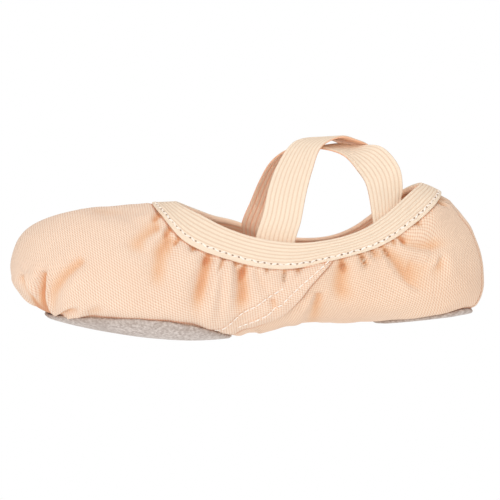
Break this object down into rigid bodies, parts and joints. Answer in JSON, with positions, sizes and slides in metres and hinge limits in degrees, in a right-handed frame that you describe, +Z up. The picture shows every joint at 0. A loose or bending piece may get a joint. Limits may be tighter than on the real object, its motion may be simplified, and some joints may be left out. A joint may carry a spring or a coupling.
{
  "type": "ballet shoe",
  "caption": "Peach canvas split-sole ballet slipper with a ribbed elastic collar, crossed elastic straps and grey suede sole patches.",
  "frame": {"origin": "middle of the shoe's length and width, on the floor", "axes": "+X from toe to heel, +Z up, -Y the side that the picture shows"},
  "size_m": [0.236, 0.078, 0.0954],
  "materials": {
    "canvas": "plain-weave cotton canvas, matte",
    "suede": "napped suede, matte",
    "sock": "cotton twill, matte",
    "elastic": "ribbed elastic webbing, slight sheen"
  },
  "bodies": {
    "root": {"upper": "canvas", "forefoot_sole": "suede", "heel_sole": "suede", "insole": "sock", "collar_binding": "elastic", "strap_over": "elastic", "strap_under": "elastic"}
  },
  "joints": []
}
